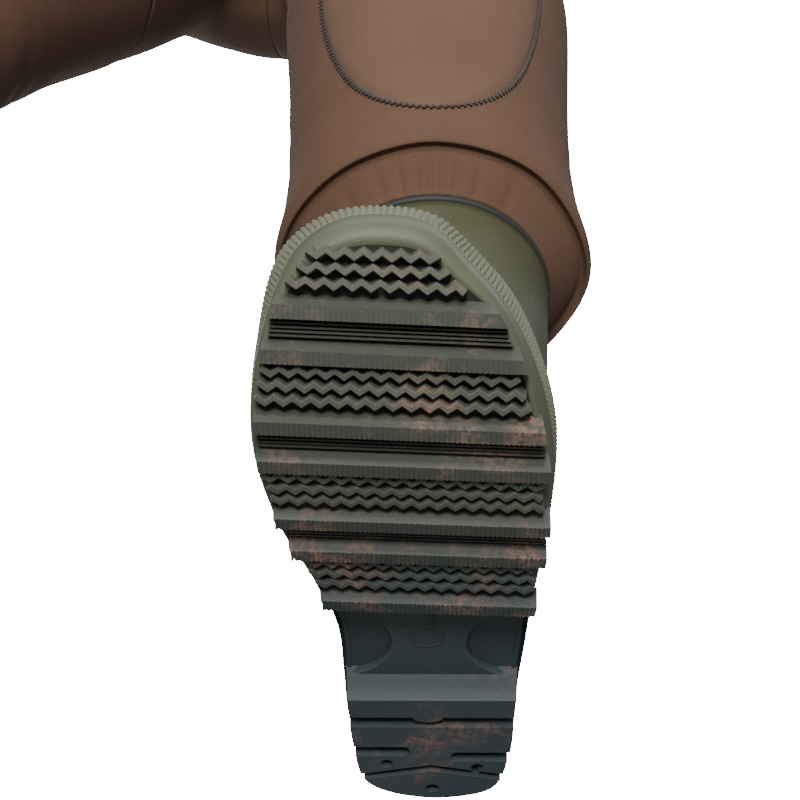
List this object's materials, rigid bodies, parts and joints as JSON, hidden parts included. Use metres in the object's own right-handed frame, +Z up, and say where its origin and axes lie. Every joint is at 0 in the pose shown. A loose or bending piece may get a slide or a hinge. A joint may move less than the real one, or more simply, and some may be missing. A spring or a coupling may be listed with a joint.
{
  "type": "chest waders",
  "caption": "Neoprene chest waders with moulded rubber boots, reinforced knees, bib pocket, elastic braces and a wading belt.",
  "frame": {"origin": "midway between the tops of the two braces, where they rest on the wearer's shoulders", "axes": "+Z up, the wearer faces -Y, +X is the wearer's left"},
  "size_m": [0.6538, 0.3685, 1.4996],
  "materials": {
    "neoprene": "matte knit face over foam",
    "boot_rubber": "satin, slightly dusty",
    "tread_rubber": "matte, worn and dusty",
    "insole_felt": "felt",
    "webbing": "woven nylon",
    "buckle_plastic": "moulded",
    "ring_steel": "satin"
  },
  "bodies": {
    "torso": {"bib_front": "neoprene", "bib_back": "neoprene", "bib_binding": "webbing", "belt_band": "webbing", "belt_lead": "webbing", "belt_socket": "buckle_plastic", "belt_loop_front_left": "neoprene", "belt_loop_back_left": "neoprene", "belt_loop_back_right": "neoprene", "belt_loop_front_right": "neoprene", "chest_pocket": "neoprene", "flap_base": "neoprene", "ring_tab": "webbing", "hip_left": "neoprene", "brace_tab_left": "webbing", "brace_socket_left": "buckle_plastic", "brace_lead_left": "webbing", "brace_left": "webbing", "hip_right": "neoprene", "brace_tab_right": "webbing", "brace_socket_right": "buckle_plastic", "brace_lead_right": "webbing", "brace_right": "webbing"},
    "belt_plug": {"belt_plug": "buckle_plastic"},
    "pocket_flap": {"pocket_flap": "neoprene"},
    "tool_ring": {"tool_ring": "ring_steel"},
    "thigh_left": {"thigh_left": "neoprene"},
    "shin_left": {"shin_left": "neoprene", "knee_left": "neoprene", "knee_pad_left": "neoprene"},
    "boot_left": {"outsole_left": "tread_rubber", "rand_left": "boot_rubber", "boot_shell_left": "boot_rubber", "insole_left": "insole_felt", "boot_collar_left": "boot_rubber", "gaiter_left": "neoprene"},
    "brace_plug_left": {"brace_plug_left": "buckle_plastic"},
    "brace_slider_left": {"brace_slider_left": "buckle_plastic"},
    "thigh_right": {"thigh_right": "neoprene"},
    "shin_right": {"shin_right": "neoprene", "knee_right": "neoprene", "knee_pad_right": "neoprene"},
    "boot_right": {"outsole_right": "tread_rubber", "rand_right": "boot_rubber", "boot_shell_right": "boot_rubber", "insole_right": "insole_felt", "boot_collar_right": "boot_rubber", "gaiter_right": "neoprene"},
    "brace_plug_right": {"brace_plug_right": "buckle_plastic"},
    "brace_slider_right": {"brace_slider_right": "buckle_plastic"}
  },
  "joints": [
    {"name": "hip_left", "type": "hinge", "parent": "torso", "child": "thigh_left", "pos_m": [0.122, 0, -0.65], "axis": [-0.9816, 0, -0.1908], "range_deg": [-15, 75], "stiffness_Nm_per_rad": 2, "deforming": ["hip_left"]},
    {"name": "knee_left", "type": "hinge", "parent": "thigh_left", "child": "shin_left", "pos_m": [0.18878, -0.04297, -0.99357], "axis": [0.9816, 0, 0.1908], "range_deg": [-10, 75], "stiffness_Nm_per_rad": 1.5, "deforming": ["knee_left", "knee_pad_left"]},
    {"name": "ankle_left", "type": "hinge", "parent": "shin_left", "child": "boot_left", "pos_m": [0.2279, -0.01416, -1.1948], "axis": [0.9816, 0, 0.1908], "range_deg": [-20, 20], "stiffness_Nm_per_rad": 1, "deforming": ["gaiter_left"]},
    {"name": "hip_right", "type": "hinge", "parent": "torso", "child": "thigh_right", "pos_m": [-0.122, 0, -0.65], "axis": [-0.9816, 0, 0.1908], "range_deg": [-15, 75], "stiffness_Nm_per_rad": 2, "deforming": ["hip_right"]},
    {"name": "knee_right", "type": "hinge", "parent": "thigh_right", "child": "shin_right", "pos_m": [-0.18878, -0.04297, -0.99357], "axis": [0.9816, 0, -0.1908], "range_deg": [-10, 75], "stiffness_Nm_per_rad": 1.5, "deforming": ["knee_right", "knee_pad_right"]},
    {"name": "ankle_right", "type": "hinge", "parent": "shin_right", "child": "boot_right", "pos_m": [-0.2279, -0.01416, -1.1948], "axis": [0.9816, 0, -0.1908], "range_deg": [-20, 20], "stiffness_Nm_per_rad": 1, "deforming": ["gaiter_right"]},
    {"name": "brace_buckle_left", "type": "slide", "parent": "torso", "child": "brace_plug_left", "axis": [-0.0741, 0.6671, 0.7412], "range_m": [0, 0.022], "deforming": ["brace_lead_left"]},
    {"name": "brace_adjuster_left", "type": "slide", "parent": "torso", "child": "brace_slider_left", "axis": [-0.0741, 0.6671, 0.7412], "range_m": [-0.008, 0.03], "deforming": ["brace_lead_left"]},
    {"name": "brace_buckle_right", "type": "slide", "parent": "torso", "child": "brace_plug_right", "axis": [0.0741, 0.6671, 0.7412], "range_m": [0, 0.022], "deforming": ["brace_lead_right"]},
    {"name": "brace_adjuster_right", "type": "slide", "parent": "torso", "child": "brace_slider_right", "axis": [0.0741, 0.6671, 0.7412], "range_m": [-0.008, 0.03], "deforming": ["brace_lead_right"]},
    {"name": "belt_buckle", "type": "slide", "parent": "torso", "child": "belt_plug", "axis": [1, 0, 0], "range_m": [0, 0.022], "deforming": ["belt_lead"]},
    {"name": "flap", "type": "hinge", "parent": "torso", "child": "pocket_flap", "pos_m": [0, -0.16, -0.243], "axis": [-1, 0, 0], "range_deg": [0, 110], "deforming": ["pocket_flap"]},
    {"name": "ring_swing", "type": "hinge", "parent": "torso", "child": "tool_ring", "pos_m": [-0.13095, -0.13652, -0.1975], "axis": [-0.8913, 0.4533, 0], "range_deg": [0, 120]}
  ]
}
